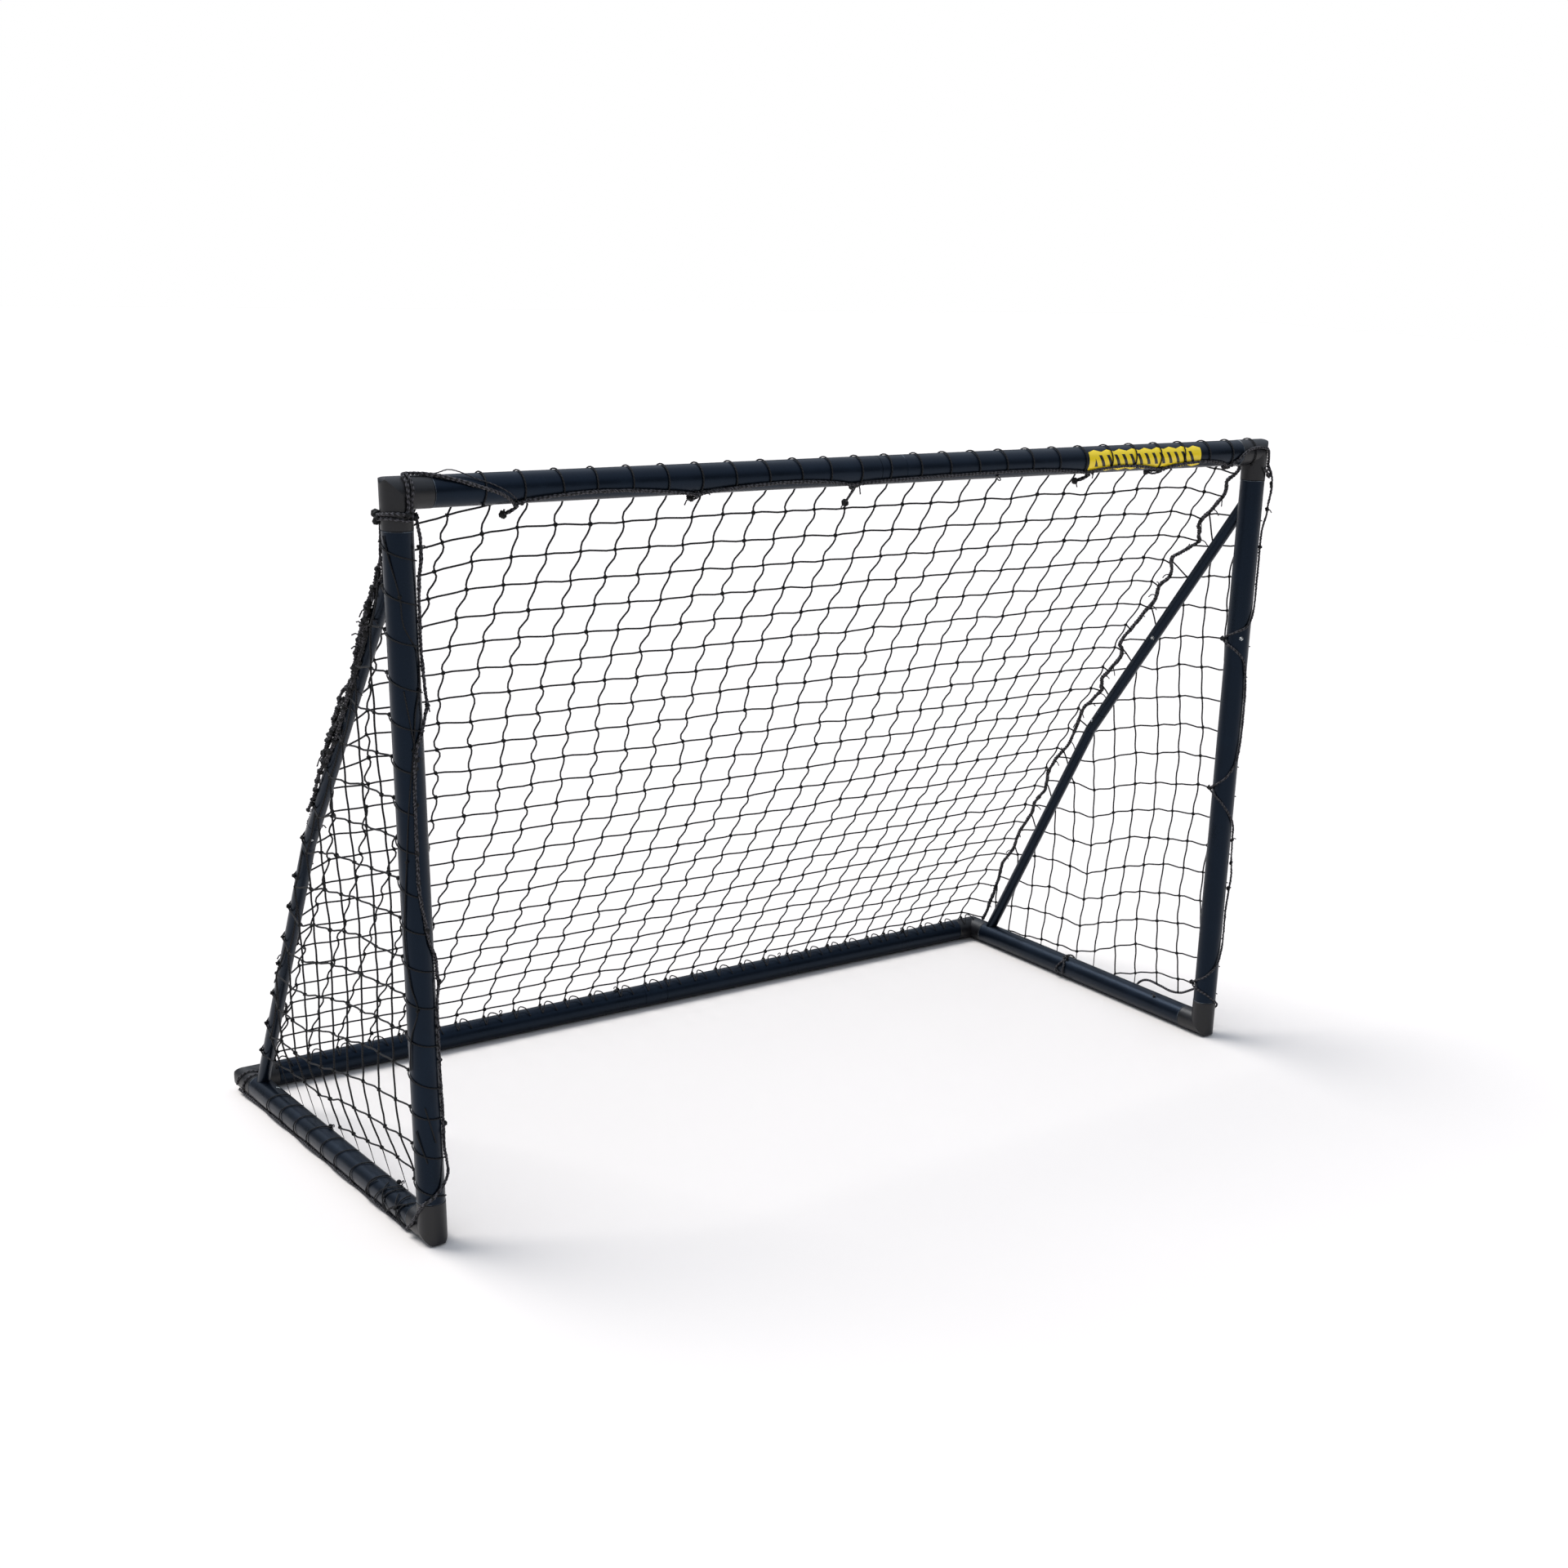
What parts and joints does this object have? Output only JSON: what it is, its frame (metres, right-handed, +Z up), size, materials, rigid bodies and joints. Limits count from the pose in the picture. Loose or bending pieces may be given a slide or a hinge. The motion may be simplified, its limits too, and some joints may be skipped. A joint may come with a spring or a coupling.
{
  "type": "football goal",
  "caption": "Free-standing garden football goal: round plastic pipe frame with plug-in corners, braced side struts and a knotted net on hooks.",
  "frame": {"origin": "centre of the goal's footprint on the ground", "axes": "+X along the goal line to the goal's right as seen from the pitch, +Y from the goal line to the back, +Z up"},
  "size_m": [2.656, 1.1894, 1.7744],
  "materials": {
    "pipe_plastic": "satin extruded uPVC, navy-black",
    "corner_plastic": "satin moulded PVC, warm charcoal",
    "button_steel": "bright zinc-plated",
    "spring_steel": "bare spring steel",
    "hook_plastic": "glossy black moulded nylon",
    "net_cord": "knotted polyethylene cord, black",
    "border_rope": "braided polypropylene rope, black",
    "sticker_yellow": "printed vinyl, yellow",
    "sticker_white": "printed vinyl, white"
  },
  "bodies": {
    "frame": {"post_left": "pipe_plastic", "post_right": "pipe_plastic", "crossbar_left": "pipe_plastic", "crossbar_right": "pipe_plastic", "side_bar_left": "pipe_plastic", "side_bar_right": "pipe_plastic", "back_bar_left": "pipe_plastic", "back_bar_right": "pipe_plastic", "elbow_top_left": "corner_plastic", "elbow_top_right": "corner_plastic", "elbow_front_left": "corner_plastic", "elbow_front_right": "corner_plastic", "elbow_back_left": "corner_plastic", "elbow_back_right": "corner_plastic", "crossbar_plug": "pipe_plastic", "crossbar_socket": "pipe_plastic", "back_bar_plug": "pipe_plastic", "back_bar_socket": "pipe_plastic", "strut_upper_left": "pipe_plastic", "strut_upper_right": "pipe_plastic", "strut_lower_left": "pipe_plastic", "strut_lower_right": "pipe_plastic", "strut_plug_left": "pipe_plastic", "strut_plug_right": "pipe_plastic", "strut_socket_left": "pipe_plastic", "strut_socket_right": "pipe_plastic", "spring_crossbar": "spring_steel", "spring_back_bar": "spring_steel", "spring_strut_left": "spring_steel", "spring_strut_right": "spring_steel", "hooks_crossbar": "hook_plastic", "hooks_post_left": "hook_plastic", "hooks_post_right": "hook_plastic", "hooks_side_left": "hook_plastic", "hooks_side_right": "hook_plastic", "hooks_back_bar": "hook_plastic", "net_back": "net_cord", "net_side_left": "net_cord", "net_side_right": "net_cord", "rope_crossbar": "border_rope", "rope_post_left": "border_rope", "rope_post_right": "border_rope", "rope_side_left": "border_rope", "rope_side_right": "border_rope", "rope_back_bar": "border_rope", "seam_rope_left": "border_rope", "seam_rope_right": "border_rope", "yellow_sticker": "sticker_yellow", "assembly_dots": "sticker_white"},
    "button_crossbar": {"button_crossbar": "button_steel"},
    "button_back_bar": {"button_back_bar": "button_steel"},
    "button_strut_left": {"button_strut_left": "button_steel"},
    "button_strut_right": {"button_strut_right": "button_steel"}
  },
  "joints": [
    {"name": "press_crossbar_button", "type": "slide", "parent": "frame", "child": "button_crossbar", "axis": [0, -0.9063, 0.4226], "range_m": [0, 0.007], "stiffness_N_per_m": 600, "deforming": ["spring_crossbar"]},
    {"name": "press_back_bar_button", "type": "slide", "parent": "frame", "child": "button_back_bar", "axis": [0, -0.9063, 0.4226], "range_m": [0, 0.007], "stiffness_N_per_m": 600, "deforming": ["spring_back_bar"]},
    {"name": "press_left_strut_button", "type": "slide", "parent": "frame", "child": "button_strut_left", "axis": [0.3584, 0.7486, 0.5578], "range_m": [0, 0.006], "stiffness_N_per_m": 600, "deforming": ["spring_strut_left"]},
    {"name": "press_right_strut_button", "type": "slide", "parent": "frame", "child": "button_strut_right", "axis": [0.9613, -0.221, -0.1647], "range_m": [0, 0.006], "stiffness_N_per_m": 600, "deforming": ["spring_strut_right"]}
  ]
}
